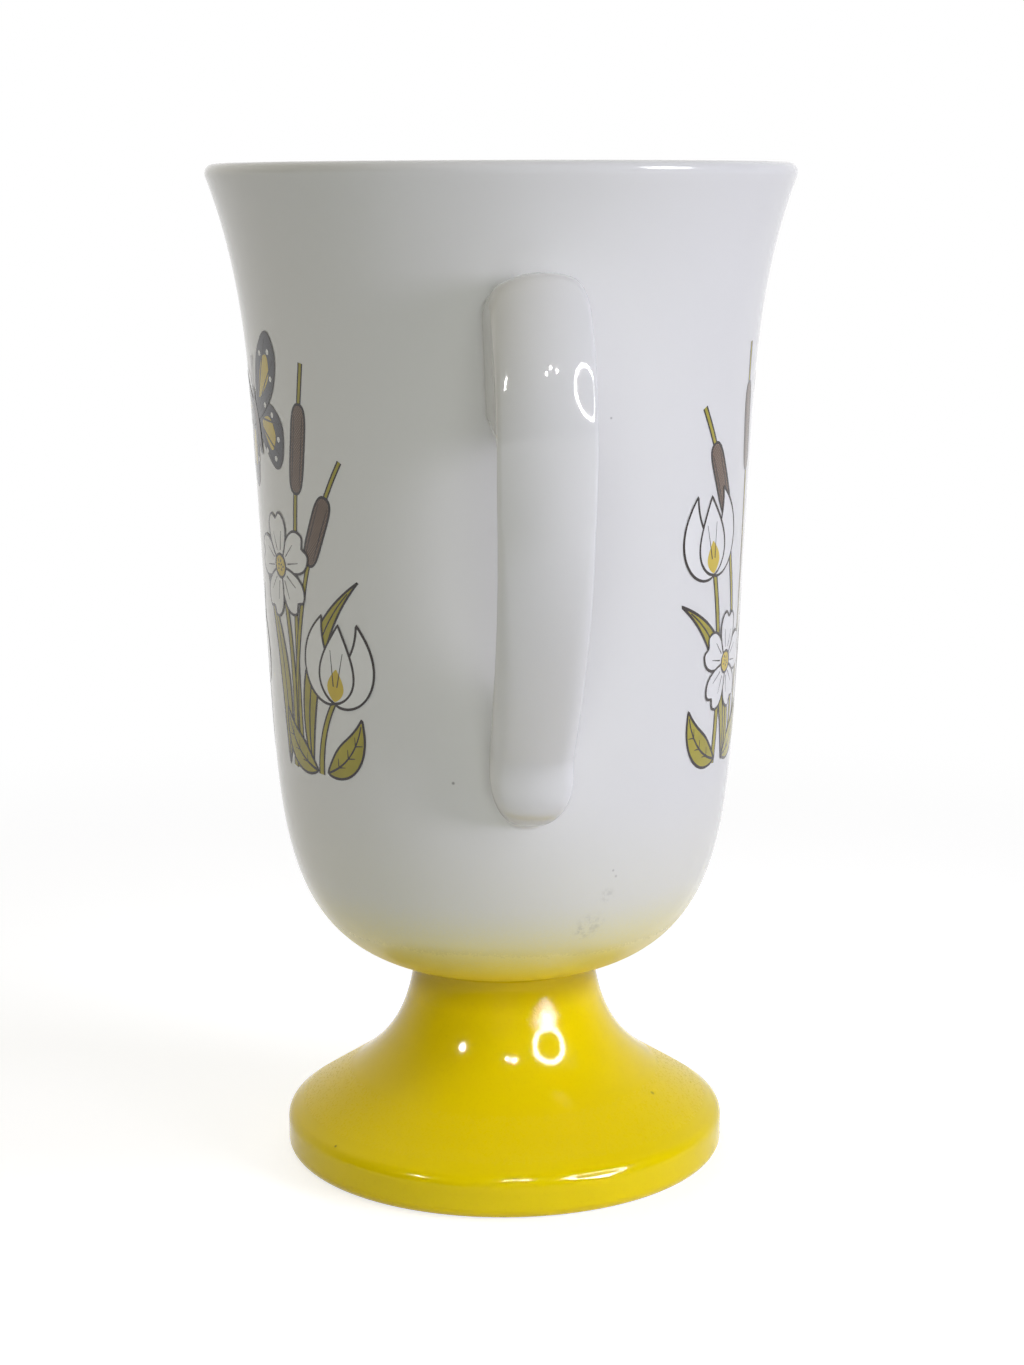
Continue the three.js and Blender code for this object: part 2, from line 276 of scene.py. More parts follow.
def bowl_height(radius):
    """Height of the bowl's rounded underside at a radius."""
    return halved(BOTTOM_Z, BELLY_Z, lambda z: bowl_radius(z) < radius)


def bowl_slope(z):
    return (bowl_radius(z + SLOPE_STEP) - bowl_radius(z - SLOPE_STEP)) / (2 * SLOPE_STEP)


def lower_heights(bottom, count):
    angles = steps(pi / 2, 0, count)
    return [BELLY_Z - (BELLY_Z - bottom) * sin(angle) ** (2 / POWER_UP) for angle in angles]


def bowl_profile():
    outer = [z for z in lower_heights(BOTTOM_Z, LOWER_STEPS) if z > SEAT_Z + SEAT_CLEARANCE]
    outer = [SEAT_Z] + outer + steps(BELLY_Z, BODY_TOP_Z, BODY_STEPS)[1:]
    outer += steps(BODY_TOP_Z, FLARE_END_Z, FLARE_STEPS)[1:]
    profile = [(r, SEAT_Z) for r in SEAT_RADII] + [(bowl_radius(z), z) for z in outer]
    centre = (RIM_RADIUS - LIP_RADIUS, RIM_Z - LIP_RADIUS)
    for angle in steps(-RIM_LEAN, pi - RIM_LEAN, LIP_STEPS)[1:]:
        profile.append(pulled(centre, angle, LIP_RADIUS))
    for z in steps(FLARE_END_Z, BODY_TOP_Z, FLARE_STEPS)[1:]:
        slope = bowl_slope(z - SLOPE_STEP)
        across = hypot(1, slope)
        profile.append((flare_radius(z) - WALL / across, z + WALL * slope / across))
    inner = steps(BODY_TOP_Z, BELLY_Z, BODY_STEPS)[1:]
    inner += lower_heights(FLOOR_Z, LOWER_STEPS)[::-1][1:]
    profile += [((body_line(z) - WALL) * rounding(z, FLOOR_Z), z) for z in inner[:-1]]
    profile.append((0, FLOOR_Z))
    return profile


def shoulder_point(angle):
    across = FOOT_RADIUS - SHOULDER_RADIUS * (1 - cos(angle))
    return across, FOOT_BAND_TOP + SHOULDER_RADIUS * sin(angle)


def foot_curve():
    start = shoulder_point(pi / 2 - FOOT_SLOPE)
    end = (NECK_RADIUS, FOOT_HEIGHT)
    first = pulled(start, pi - FOOT_SLOPE, FOOT_SLOPE_PULL)
    second = (end[0] + NECK_PULL * sin(NECK_LEAN), end[1] - NECK_PULL * cos(NECK_LEAN))
    return start, first, second, end


def foot_radius(z):
    """Radius of the foot's sloping side at a height."""
    curve = foot_curve()
    places = [bezier(t, *curve) for t in steps(0, 1, FOOT_SAMPLES)]
    return min(places, key=lambda place: abs(place[1] - z))[0]


GLAZED, BARE, HOLLOW = range(3)


def foot_profile():
    """Profile from the inner edge of the standing ring, up the outside and down the hollow, with the
    finish of each stretch."""
    ring_outer = FOOT_RADIUS - TOE_RADIUS
    ring_inner = ring_outer - FOOT_RING_WIDTH
    curve = foot_curve()
    points = []
    for angle in steps(-pi, -pi / 2, RING_EDGE_STEPS):
        points.append((*pulled((ring_inner + RING_EDGE, RING_EDGE), angle, RING_EDGE), BARE))
    for angle in steps(-pi / 2, 0, ROUND_STEPS):
        r, z = pulled((ring_outer, TOE_RADIUS), angle, TOE_RADIUS)
        points.append((r, z, BARE if z < BARE_TOP else GLAZED))
    points += [(FOOT_RADIUS, z, GLAZED) for z in steps(TOE_RADIUS, FOOT_BAND_TOP, BAND_STEPS)[1:]]
    angles = steps(0, pi / 2 - FOOT_SLOPE, ROUND_STEPS)[1:-1]
    points += [(*shoulder_point(angle), GLAZED) for angle in angles]
    points += [(*bezier(t, *curve), GLAZED) for t in steps(0, 1, FOOT_STEPS)]
    for t in steps(1, 0, FOOT_STEPS):
        a, b = bezier(max(t - NEARBY, 0), *curve), bezier(min(t + NEARBY, 1), *curve)
        r, z = beside(bezier(t, *curve), a, b, -FOOT_WALL)
        if t == 1:
            z = FOOT_HEIGHT
        if z > RING_EDGE + RING_CLEARANCE:
            points.append((min(ring_inner, r), z, HOLLOW))
    return points


# Mesh building.

def link(name, mesh, materials):
    piece = bpy.data.objects.new(name, mesh)
    scene.collection.objects.link(piece)
    for material in materials:
        mesh.materials.append(material)
    return piece


def mesh_of(name, points, faces, finishes=None):
    mesh = bpy.data.meshes.new(name)
    mesh.from_pydata([(x * MM, y * MM, z * MM) for x, y, z in points], [], faces)
    mesh.update()
    mesh.polygons.foreach_set("use_smooth", [True] * len(mesh.polygons))
    if finishes:
        mesh.polygons.foreach_set("material_index", finishes)
    return mesh


def turned(name, profile, closed):
    """A surface turned about the mug's axis. The profile goes up the outside, and a third number is
    the finish of the stretch that starts there."""
    points, faces, finishes, rings = [], [], [], []
    for r, z, *_ in profile:
        count = 1 if r < 1e-6 else TURN_SEGMENTS
        rings.append(range(len(points), len(points) + count))
        for k in range(count):
            turn = 2 * pi * k / TURN_SEGMENTS
            points.append((AXIS_X + r * cos(turn), r * sin(turn), z))
    pairs = list(zip(rings, rings[1:]))
    if closed:
        pairs.append((rings[-1], rings[0]))
    for index, (low, high) in enumerate(pairs):
        finish = profile[index][2] if len(profile[index]) > 2 else 0
        for k in range(TURN_SEGMENTS):
            n = (k + 1) % TURN_SEGMENTS
            if len(low) == 1:
                faces.append((low[0], high[n], high[k]))
            elif len(high) == 1:
                faces.append((low[k], low[n], high[0]))
            else:
                faces.append((low[k], low[n], high[n], high[k]))
            finishes.append(finish)
    return mesh_of(name, points, faces, finishes)


# Handle: two rails in the plane through the axis, in six matched stretches.

def outer_rail():
    corner = (CORNER_REACH, TOP_Z - ARM_FALL)
    arm_start = (bowl_radius(TOP_Z) - EMBED, TOP_Z - ARM_RISE)
    arm_crown = (ARM_CROWN_REACH, TOP_Z + ARM_CROWN)
    bulge = (REACH, BULGE_Z)
    shoulder = (REACH, BULGE_Z + SHOULDER_PULL)
    arm_end = toward(corner, arm_crown, OUTER_CORNER)
    front_top = toward(corner, shoulder, OUTER_CORNER)
    tail_top = (bowl_radius(GAP_BOTTOM_Z) + TAIL_DEPTH, GAP_BOTTOM_Z - TAIL_TOP_DROP)
    tip = (bowl_radius(TIP_Z) - EMBED, TIP_Z)
    sweep_start = (REACH, BULGE_Z - SWEEP_PULL_DOWN)
    sweep_end = pulled(tail_top, SWEEP_SLOPE, SWEEP_PULL_IN)
    front, sweep = split(FRONT_SHARE, (bulge, sweep_start, sweep_end, tail_top))
    tail = (tail_top, pulled(tail_top, SWEEP_SLOPE, -TAIL_PULL), pulled(tip, TIP_SLOPE, TIP_PULL), tip)
    arm = (arm_start, arm_crown, arm_end)
    return [arm, (arm_end, corner, front_top), (front_top, shoulder, bulge), front, sweep, tail]


def inner_rail():
    back = REACH - STRAP_THICKNESS
    arm_start = (bowl_radius(GAP_TOP_Z) - EMBED, GAP_TOP_Z)
    arm_end = (back - INNER_CORNER, GAP_TOP_Z)
    arm_middle = (arm_end[0] - INNER_ARM, GAP_TOP_Z)
    back_top = (back, GAP_TOP_Z - INNER_DROP)
    back_end = (back, back_top[1] - INNER_BACK)
    gap_foot = (bowl_radius(GAP_BOTTOM_Z) - EMBED, GAP_BOTTOM_Z)
    tip = (bowl_radius(TIP_Z) - 2 * EMBED, TIP_Z)
    sweep_start = (back, back_end[1] - INNER_PULL_DOWN)
    sweep_end = pulled(gap_foot, INNER_SLOPE, INNER_PULL_IN)
    sweep = (back_end, sweep_start, sweep_end, gap_foot)
    arm = [(arm_start, arm_middle), (arm_middle, arm_end)]
    corner = (arm_end, (back, GAP_TOP_Z), back_top)
    return arm + [corner, (back_top, back_end), sweep, (gap_foot, tip)]


OUTER = outer_rail()
INNER = inner_rail()
SWEEP, TAIL = 4, 5
HANDLE_END = len(STRETCH_STEPS) - 1e-9
# Stations between which the edges take on the next radius, starting from the arm's.
EDGE_CHANGES = ((0.8, 2.2, EDGE_RADIUS), (3.9, 4.6, SWEEP_EDGE_RADIUS), (4.8, 5.3, TAIL_EDGE_RADIUS))


def handle_width(z):
    round_z = TIP_Z + TIP_ROUND
    narrowing = clamp((BULGE_Z - z) / (BULGE_Z - round_z))
    below = clamp((round_z - z) / TIP_ROUND, 0, TIP_SHARE)
    return mixed(HANDLE_WIDTH, TIP_WIDTH, narrowing) * sqrt(1 - below * below)


def section_outline():
    """Places round a section, as side, part of it and share of that part, anticlockwise seen down the
    handle: the outer face, a corner, a side, a corner, the inner face and so on."""
    places = []
    for quarter in range(4):
        flat = FACE_STEPS if quarter % 2 == 0 else SIDE_STEPS
        places += [(quarter, "flat", i / flat) for i in range(flat)]
        places += [(quarter, "corner", i / CORNER_STEPS) for i in range(CORNER_STEPS)]
    return places


def section_point(place, half_depth, half_width, edge):
    """Depth and width of a place on a rounded section: its outer face is crowned, its inner narrower."""
    quarter, part, share = place
    radius = min(edge, EDGE_SHARE * half_depth, EDGE_SHARE * half_width)
    deep, wide = half_depth - radius, half_width - radius
    if part == "flat":
        run = mixed(-1, 1, share)
        depth, width = (half_depth, run * wide) if quarter % 2 == 0 else (-run * deep, half_width)
        if quarter > 1:
            depth, width = -depth, -width
    else:
        angle = pi / 2 * (quarter + share)
        depth = (deep if quarter in (0, 3) else -deep) + radius * cos(angle)
        width = (wide if quarter in (0, 1) else -wide) + radius * sin(angle)
    crown = CROWN_RADIUS - sqrt(CROWN_RADIUS ** 2 - (width - CROWN_SHIFT) ** 2)
    crown = min(crown, CROWN_SHARE * half_depth)
    outer_share = (depth / half_depth + 1) / 2
    depth += crown * mixed(INNER_CROWN, -1, outer_share)
    return depth, width * (1 - SIDE_TAPER * (1 - outer_share))


def edge_radius(station):
    radius = ARM_EDGE_RADIUS
    for start, end, later in EDGE_CHANGES:
        radius = mixed(radius, later, clamp((station - start) / (end - start)))
    return radius


def inner_share(stretch, share):
    """The inner rail slows to a stop where it turns down inside the bowl's wall, so that the outer
    face stays smooth."""
    if stretch == SWEEP:
        return 1 - (1 - share) ** 2
    return share ** 2 if stretch == TAIL else share


def handle_point(station, place):
    """A point of the handle's surface. The station's whole part is the stretch and the rest its share."""
    stretch = min(int(station), len(OUTER) - 1)
    share = station - stretch
    outer = bezier(share, *OUTER[stretch])
    inner = bezier(inner_share(stretch, share), *INNER[stretch])
    half_depth = dist(outer, inner) / 2
    depth, width = section_point(place, half_depth, handle_width(outer[1]) / 2, edge_radius(station))
    reach, z = toward(inner, outer, half_depth + depth)
    return Vector((AXIS_X + reach, width, z))


def handle_stations():
    stretches = enumerate(STRETCH_STEPS)
    return [stretch + i / count for stretch, count in stretches for i in range(count)] + [HANDLE_END]


def rings_mesh(name, rings, capped):
    """Quads between matching rings of points, closed round each ring."""
    count = len(rings[0])
    points = [tuple(p) for ring in rings for p in ring]
    faces = []
    for index in range(len(rings) - 1 + (0 if capped else 1)):
        low, high = index * count, (index + 1) % len(rings) * count
        for k in range(count):
            n = (k + 1) % count
            faces.append((low + k, low + n, high + n, high + k))
    if capped:
        faces.append(tuple(range(count))[::-1])
        faces.append(tuple(range((len(rings) - 1) * count, len(rings) * count)))
    return mesh_of(name, points, faces)


def facing_out(mesh):
    work = bmesh.new()
    work.from_mesh(mesh)
    bmesh.ops.recalc_face_normals(work, faces=work.faces)
    work.to_mesh(mesh)
    work.free()
    return mesh


def outside(p):
    """How far a point is outside the bowl's outer surface, along the radius."""
    return hypot(p.x - AXIS_X, p.y) - bowl_radius(p.z)


def bowl_normal(p):
    radius = hypot(p.x - AXIS_X, p.y)
    return Vector(((p.x - AXIS_X) / radius, p.y / radius, -bowl_slope(p.z))).normalized()


def crossing(place, start, end):
    """Where a line along the handle goes through the bowl's surface, between two stations."""
    start_out = outside(handle_point(start, place)) > 0
    station = halved(start, end, lambda near: (outside(handle_point(near, place)) > 0) == start_out)
    return handle_point(station, place)


def smoothed(points, rounds):
    for _ in range(rounds):
        after = points[1:] + points[:1]
        before = points[-1:] + points[:-1]
        points = [a * 0.25 + b * 0.5 + c * 0.25 for a, b, c in zip(before, points, after)]
    return points


def bead_mesh(name, start, end, handle_tree):
    """A hollow fillet of slip round one root of the handle, sunk a little into both neighbours."""
    crease = [crossing(place, start, end) for place in section_outline()]
    crease = [Vector(point) for point in respaced(crease, True, BEAD_POINTS)]
    crease = smoothed(crease, BEAD_SMOOTHINGS)
    centre = sum(crease, Vector()) / len(crease)
    rings = []
    for i, middle in enumerate(crease):
        along = (crease[(i + 1) % BEAD_POINTS] - crease[i - 1]).normalized()
        bowl_out = bowl_normal(middle)
        bowl_way = along.cross(bowl_out).normalized()
        if bowl_way.dot(middle - centre) < 0:
            bowl_way.negate()
        rise = (bowl_out - along * bowl_out.dot(along)).normalized()
        found, handle_out, _, _ = handle_tree.find_nearest((middle + rise * BEAD) * MM)
        top = found / MM - handle_out * BEAD_EDGE_SINK
        edge = middle + bowl_way * BEAD
        edge -= bowl_normal(edge) * (outside(edge) + BEAD_EDGE_SINK)
        ring = [top.lerp(middle, t).lerp(middle.lerp(edge, t), t) for t in steps(0, 1, BEAD_STEPS)]
        ring.append(edge - bowl_out * BEAD_SINK)
        ring.append(middle - bowl_out * BEAD_SINK - handle_out * BEAD_SINK)
        ring.append(top - handle_out * BEAD_SINK)
        rings.append(ring)
    mesh = facing_out(rings_mesh(name, rings, False))
    mesh.set_sharp_from_angle(angle=SHARP_ANGLE)
    return mesh


def foot_bead_profile():
    """The slip between neck and bowl: a soft hollow corner outside, and one inside."""
    inner = NECK_RADIUS - FOOT_WALL
    wide = NECK_RADIUS + JOINT_LEG
    neck = (NECK_RADIUS + JOINT_SPREAD * JOINT_LEG + JOINT_SINK, FOOT_HEIGHT - JOINT_LEG)
    under = (wide, bowl_height(wide) - JOINT_SINK)
    corner = (NECK_RADIUS + 2 * JOINT_SINK, bowl_height(NECK_RADIUS) - JOINT_SINK)
    outer = [bezier(t, neck, corner, under) for t in steps(0, 1, BEAD_STEPS)]
    hollow = ((inner - INNER_LEG, SEAT_Z), (inner, SEAT_Z), (inner, FOOT_HEIGHT - 0.8))
    inside = [bezier(t, *hollow) for t in steps(0, 1, INNER_LEG_STEPS)]
    # Corners that lie in the bowl's floor and in the neck's wall.
    sunk = [(wide - 0.5, SEAT_Z + 0.7), (inner - 1.0, SEAT_Z + 0.4)]
    low = [(inner + 0.4, FOOT_HEIGHT - 0.9), (NECK_RADIUS - 0.6, FOOT_HEIGHT - 0.6)]
    return outer + sunk + inside + low


# Materials.

def linear(*channels):
    """The colour that shows as these levels of 255."""
    shares = [channel / 255 for channel in channels]
    return tuple(((c + 0.055) / 1.055) ** 2.4 if c > 0.04 else c / 12.92 for c in shares) + (1.0,)


class Nodes:
    """Short ways to add and join the nodes of a material, a lamp or the world."""

    def __init__(self, owner):
        owner.use_nodes = True
        self.owner = owner
        self.tree = owner.node_tree

    def add(self, kind, *values, operation=None, **inputs):
        """A new node: values go to its sockets in order, inputs by name."""
        node = self.tree.nodes.new("ShaderNode" + kind)
        if operation:
            node.operation = operation
        for index, value in enumerate(values):
            self.put(node.inputs[index], value)
        for key, value in inputs.items():
            self.put(node.inputs[key.replace("_", " ")], value)
        return node

    def put(self, socket, value):
        if isinstance(value, bpy.types.NodeSocket):
            self.tree.links.new(value, socket)
        else:
            socket.default_value = value

    def math(self, operation, *values):
        return self.add("Math", *values, operation=operation).outputs[0]

    def times(self, a, b):
        return self.math("MULTIPLY", a, b)

    def mix(self, share, a, b):
        node = self.add("Mix", share)
        node.data_type = "RGBA"
        self.put(node.inputs[6], a)
        self.put(node.inputs[7], b)
        return node.outputs[2]

    def ranged(self, value, low, high, to_low=0.0, to_high=1.0):
        node = self.add("MapRange", value, low, high, to_low, to_high)
        node.interpolation_type = "SMOOTHSTEP"
        return node.outputs[0]

    def noise(self, scale, detail=2.0, rough=0.5):
        place = self.place()
        return self.add("TexNoise", Vector=place, Scale=scale, Detail=detail, Roughness=rough).outputs[0]

    def bump(self, height, distance, strength=1.0, **under):
        return self.add("Bump", Height=height, Distance=distance, Strength=strength, **under).outputs[0]

    def place(self):
        return self.add("TexCoord").outputs["Object"]

    def at_height(self, limits, to_low=0.0, to_high=1.0):
        """A value that changes between two heights in millimetres."""
        height = self.add("SeparateXYZ", self.place()).outputs[2]
        return self.ranged(height, limits[0] * MM, limits[1] * MM, to_low, to_high)

    def away(self, spot, place=None):
        """Distance from a spot."""
        place = place or self.place()
        return self.add("VectorMath", place, spot, operation="DISTANCE").outputs["Value"]

    def seen_directly(self):
        """1 for what the camera sees directly, mirrored or through glass, else 0."""
        rays = self.add("LightPath").outputs
        mirrored = self.math("MAXIMUM", rays["Is Camera Ray"], rays["Is Glossy Ray"])
        return self.math("MAXIMUM", mirrored, rays["Is Transmission Ray"])

    def finish(self, **inputs):
        for key, value in inputs.items():
            self.put(self.tree.nodes["Principled BSDF"].inputs[key.replace("_", " ")], value)
        return self.owner


def material_nodes(name):
    return Nodes(bpy.data.materials.new(name))


def glaze_bump(nodes, wave=0.000012, peel=0.0000025):
    """Slow waves of the glaze over the clay, and a fine orange peel."""
    slow = nodes.bump(nodes.noise(90.0, 1.0), wave)
    return nodes.bump(nodes.noise(900.0), peel, Normal=slow)


GLASS_IOR = 1.5
YELLOW_GLOSS = 0.16
SPRAY_ROUGHNESS = 0.35
CONE_ROUGHNESS = 0.2
PIT_DEPTH = 0.00005
# Heights between which the glazes change: the spray and its faint upper part, the darker yellow at the
# neck's top that is painted shade under the bowl, the duller cone and the pitted patch of the neck.
SPRAY, FAINT_SPRAY = (44.0, 27.0), (60.0, 36.0)
PAINTED_NECK_SHADE = (22.6, 27.2)
CONE_START, CONE_END = (6.0, 7.5), (13.0, 11.0)
PITS_START, PITS_END = (20.0, 22.2), (26.2, 24.0)

# Small marks of use: angle from the handle in degrees, height, radius and strength.
BOWL_SPECKS = (
    (-17.2, 60.6, 0.30, 0.55), (17.9, 108.0, 0.22, 0.4), (22.6, 47.6, 0.25, 0.3), (23.6, 46.7, 0.28, 0.25),
)
BOWL_SMUDGES = ((21.8, 44.0, 1.5, 0.18), (18.4, 39.6, 2.8, 0.2), (16.0, 38.6, 1.6, 0.15))
FOOT_SPECKS = ((-55.8, 6.15, 0.30, 0.7), (57.0, 10.6, 0.45, 0.5))


def marked(nodes, colour, tint, marks, radius_at, broken=None):
    """The colour with marks at the given places; broken is a noise that makes them patchy."""
    for angle, z, size, strength in marks:
        spot = around(radius_at(z), radians(angle), z) * MM
        share = nodes.ranged(nodes.away(spot), size * MM, 0.25 * size * MM, 0.0, strength)
        if broken:
            share = nodes.times(share, broken)
        colour = nodes.mix(share, colour, tint)
    return colour


def white_glaze(name):
    nodes = material_nodes(name)
    white = nodes.mix(nodes.noise(22.0, 3.0), linear(231, 231, 228), linear(235, 235, 233))
    sprayed = nodes.math("ADD", nodes.at_height(SPRAY, 0.0, 0.9), nodes.at_height(FAINT_SPRAY, 0.0, 0.1))
    grain = nodes.noise(2600.0, 2.0, 0.7)
    spread = nodes.times(sprayed, nodes.math("SUBTRACT", 1.0, sprayed))
    shift = nodes.times(nodes.math("SUBTRACT", grain, 0.5), spread)
    cover = nodes.math("ADD", sprayed, nodes.times(shift, 0.9))
    cover.node.use_clamp = True
    spray = nodes.mix(cover, linear(248, 240, 30), linear(246, 220, 0))
    colour = nodes.mix(cover, white, spray)
    patchy = nodes.ranged(nodes.noise(900.0, 4.0, 0.65), 0.42, 0.62)
    colour = marked(nodes, colour, linear(120, 118, 108), BOWL_SMUDGES, bowl_radius, patchy)
    colour = marked(nodes, colour, linear(70, 66, 58), BOWL_SPECKS, bowl_radius)
    smooth = nodes.ranged(nodes.noise(60.0, 3.0), 0.3, 0.7, 0.05, 0.09)
    rough = nodes.math("ADD", smooth, nodes.times(cover, SPRAY_ROUGHNESS))
    return nodes.finish(Base_Color=colour, Roughness=rough, Normal=glaze_bump(nodes), IOR=GLASS_IOR)


def yellow_glaze(name):
    nodes = material_nodes(name)
    grain = nodes.noise(2200.0, 2.0, 0.7)
    body = nodes.mix(nodes.noise(40.0, 3.0), linear(248, 219, 0), linear(251, 225, 0))
    colour = nodes.mix(nodes.ranged(grain, 0.52, 0.75, 0.0, 0.12), body, linear(222, 190, 0))
    # Darker yellow towards the neck's top: painted shade of the bowl above it.
    colour = nodes.mix(nodes.at_height(PAINTED_NECK_SHADE), colour, linear(206, 181, 0))
    colour = marked(nodes, colour, linear(96, 84, 10), FOOT_SPECKS, foot_radius)
    cone = nodes.times(nodes.at_height(CONE_START), nodes.at_height(CONE_END))
    smooth = nodes.ranged(grain, 0.3, 0.7, 0.06, 0.12)
    rough = nodes.math("ADD", smooth, nodes.times(cone, CONE_ROUGHNESS))
    patch = nodes.times(nodes.at_height(PITS_START), nodes.at_height(PITS_END))
    pits = nodes.times(patch, nodes.noise(2600.0, 2.0, 0.6))
    pitted = nodes.bump(pits, PIT_DEPTH, Normal=glaze_bump(nodes, 0.00002, 0.000006))
    return nodes.finish(
        Base_Color=colour, Roughness=rough, Normal=pitted, IOR=GLASS_IOR, Specular_IOR_Level=YELLOW_GLOSS,
    )


def bare_clay(name):
    nodes = material_nodes(name)
    grain = nodes.noise(1800.0, 4.0, 0.7)
    colour = nodes.mix(grain, linear(205, 196, 182), linear(226, 219, 207))
    return nodes.finish(Base_Color=colour, Roughness=0.75, Normal=nodes.bump(grain, 0.00003, 0.6))


def ink(name, first, second, scale, dots=0.0, dot_colour=None):
    """A fired print colour under the glaze's gloss, mottled, and with a dot screen where dots is its
    pitch."""
    nodes = material_nodes(name)
    colour = nodes.mix(nodes.noise(scale, 3.0), linear(*first), linear(*second))
    if dots:
        flat = nodes.add("UVMap")
        flat.uv_map = "picture"
        across, up, _ = nodes.add("SeparateXYZ", flat.outputs[0]).outputs
        slants = [nodes.math(operation, across, up) for operation in ("ADD", "SUBTRACT")]
        waves = [nodes.math("SINE", nodes.times(slant, 2 * pi / dots)) for slant in slants]
        screen = nodes.ranged(nodes.math("ADD", *waves), 0.1, 1.1)
        colour = nodes.mix(screen, colour, linear(*dot_colour))
    rough = nodes.ranged(nodes.noise(300.0), 0.3, 0.7, 0.08, 0.14)
    return nodes.finish(Base_Color=colour, Roughness=rough, Normal=glaze_bump(nodes), IOR=GLASS_IOR)


WHITE = white_glaze("white_glaze")
YELLOW = yellow_glaze("yellow_glaze")
CLAY = bare_clay("bare_clay")
PRINT_INKS = [
    ink("dark_ink", (46, 38, 37), (58, 48, 45), 500.0),
    ink("charcoal_ink", (44, 43, 48), (66, 65, 72), 160.0, 0.42, (74, 72, 78)),
    ink("brown_ink", (92, 72, 56), (112, 90, 72), 220.0, 0.45, (139, 118, 102)),
    ink("olive_ink", (146, 136, 34), (190, 177, 52), 240.0),
    ink("sun_ink", (206, 178, 40), (221, 196, 64), 300.0),
    ink("pale_ink", (236, 236, 233), (240, 240, 238), 60.0),
]


# The pieces.

def placed(name, mesh, materials, slot, *nodes):
    piece = link(name, mesh, materials)
    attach(piece, "root")
    if nodes:
        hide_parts(*nodes)
    return piece


foot_mesh = turned("foot_glazed", foot_profile(), True)
foot_mesh.set_sharp_from_angle(angle=SHARP_ANGLE)
placed("foot_glazed", foot_mesh, [YELLOW, CLAY, WHITE], "yellow_glaze", "pedestal_foot")
foot_bead = turned("foot_joint_bead", foot_bead_profile(), True)
foot_bead.set_sharp_from_angle(angle=SHARP_ANGLE)
placed("foot_joint_bead", foot_bead, [YELLOW], "slip", "foot_slip_joint")
placed("bowl_glazed", turned("bowl_glazed", bowl_profile(), False), [WHITE], "white_glaze", "bowl")

outline = section_outline()
handle_rings = [[handle_point(station, place) for place in outline] for station in handle_stations()]
handle_mesh = facing_out(rings_mesh("handle_glazed", handle_rings, True))
handle_tree = BVHTree.FromPolygons(
    [v.co for v in handle_mesh.vertices], [p.vertices[:] for p in handle_mesh.polygons],
)
placed("handle_glazed", handle_mesh, [WHITE], "white_glaze", "handle")
HANDLE_JOINTS = (
    ("upper_handle_bead", 0.0, 0.9, "upper_handle_slip_joint"),
    ("lower_handle_bead", 4.4, HANDLE_END, "lower_handle_slip_joint"),
)
for name, start, end, node in HANDLE_JOINTS:
    placed(name, bead_mesh(name, start, end, handle_tree), [WHITE], "slip", node)


# The print: one picture of pond flowers on both sides, in millimetres across the bowl from the
# picture's middle and up from its lower edge.
PRINT_BOTTOM_Z = 59.5
PRINT_RADIUS = 33.7
PRINT_LIFT = 0.012
LAYER_LIFT = 0.0022
FILL_STEP = 0.7
LINE_STEP = 0.35
PEN = 0.36
FINE_PEN = 0.2
PEN_END = 0.1
PEN_SLANT = 0.7
STEM = 0.75
CATTAIL_STEM = 0.6
CATTAIL_WIDTH = 3.0
CATTAIL_TOP = 5.5
WING_SPOT = 0.42
DARK, CHARCOAL, BROWN, OLIVE, SUN, PALE = range(6)


def curve(points, closed=False, spans=10):
    """A smooth line through points."""
    count = len(points)
    ends = points if closed else (points[0], *points, points[-1])
    result = []
    for i in range(count if closed else count - 1):
        a, b, c, d = [ends[(i + k) % len(ends)] for k in ((-1, 0, 1, 2) if closed else range(4))]
        for t in steps(0, 1, spans)[:-1]:
            result.append(tuple(
                0.5 * (2 * q + (r - p) * t + (2 * p - 5 * q + 4 * r - s) * t ** 2
                       + (3 * q - p - 3 * r + s) * t ** 3)
                for p, q, r, s in zip(a, b, c, d)
            ))
    return result if closed else result + [points[-1]]


def turns(count):
    return steps(0, 2 * pi, count)[:-1]


def circle(radius, count, centre):
    return [pulled(centre, turn, radius) for turn in turns(count)]


def moved(points, place, turn=0.0, mirror=1):
    c, s = cos(turn), sin(turn)
    return [(place[0] + c * x * mirror - s * y, place[1] + s * x * mirror + c * y) for x, y in points]


